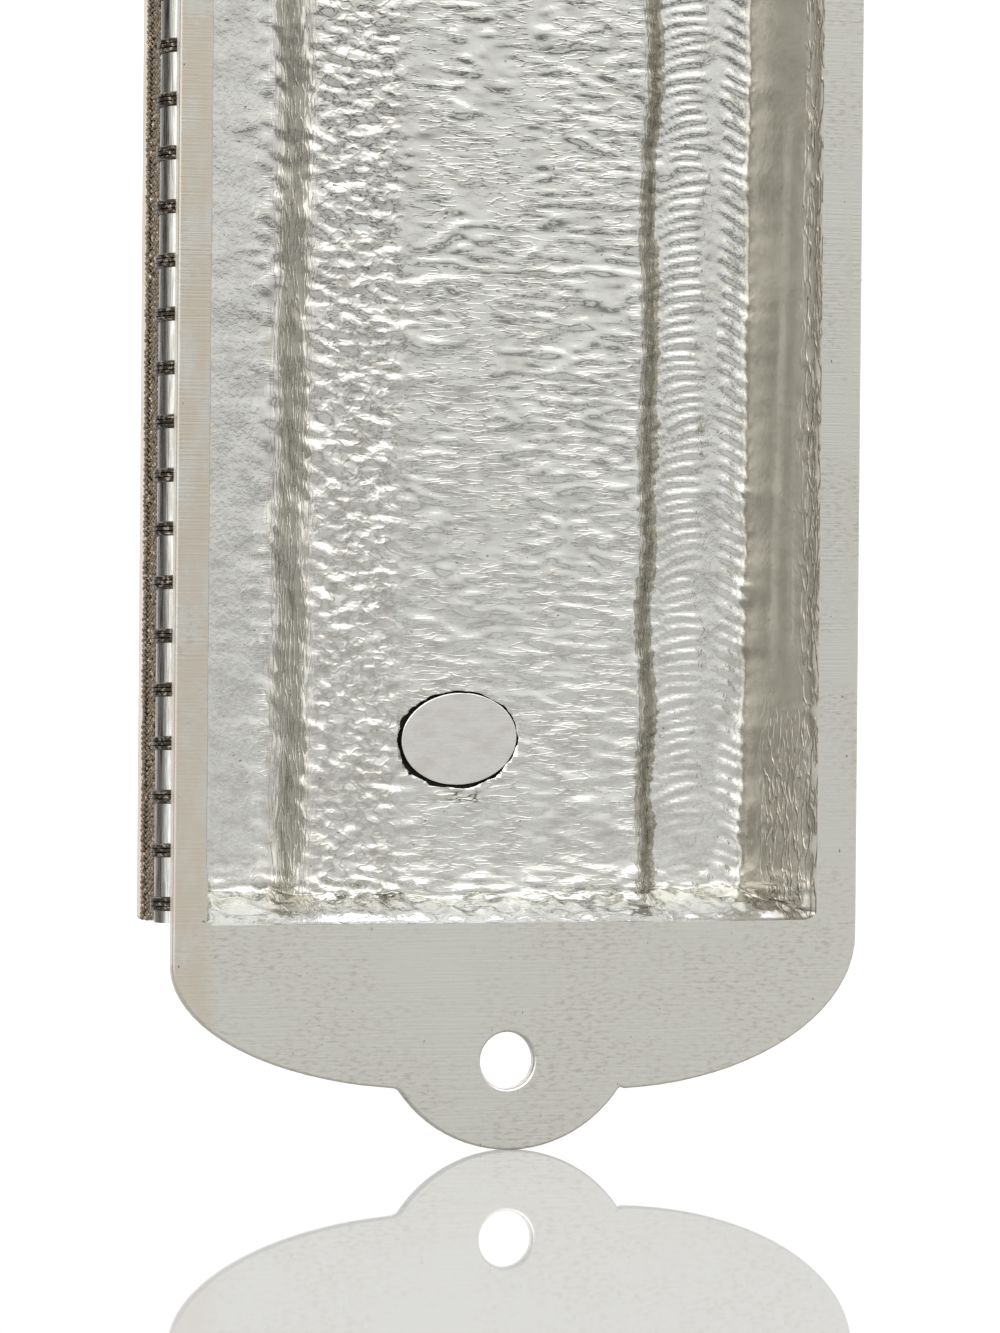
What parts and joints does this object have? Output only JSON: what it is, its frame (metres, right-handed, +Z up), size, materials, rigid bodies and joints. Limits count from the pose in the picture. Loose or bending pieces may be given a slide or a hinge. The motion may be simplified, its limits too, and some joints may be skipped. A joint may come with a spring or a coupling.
{
  "type": "mezuzah case",
  "caption": "Long shallow cast metal case with a hollow back, scalloped screw lugs, wire-bound side rods, granulated trim and a framed front panel, for a doorpost scroll.",
  "frame": {"origin": "middle of the flat back face that lies on the doorpost", "axes": "+Z up along the length of the case, +Y out of the back face towards the doorpost, +X to the right as seen from the front"},
  "size_m": [0.0388, 0.0073, 0.124],
  "materials": {
    "cast_plate": "silver-coloured plate over a rough casting, ground flat at the back",
    "satin_plate": "satin silver-coloured plate",
    "polished_plate": "polished silver-coloured plate with dark wire bindings",
    "patinated_granules": "granulated metal with a dark patina",
    "warm_plate": "warm satin plate"
  },
  "bodies": {
    "root": {"case_body": "cast_plate", "maker_plaque": "satin_plate", "bound_rod_right": "polished_plate", "bound_rod_left": "polished_plate", "granulated_strip_right": "patinated_granules", "granulated_strip_left": "patinated_granules", "granulated_end_upper": "patinated_granules", "granulated_end_lower": "patinated_granules", "front_frame": "warm_plate", "front_panel": "cast_plate", "front_ornament": "satin_plate"}
  },
  "joints": []
}
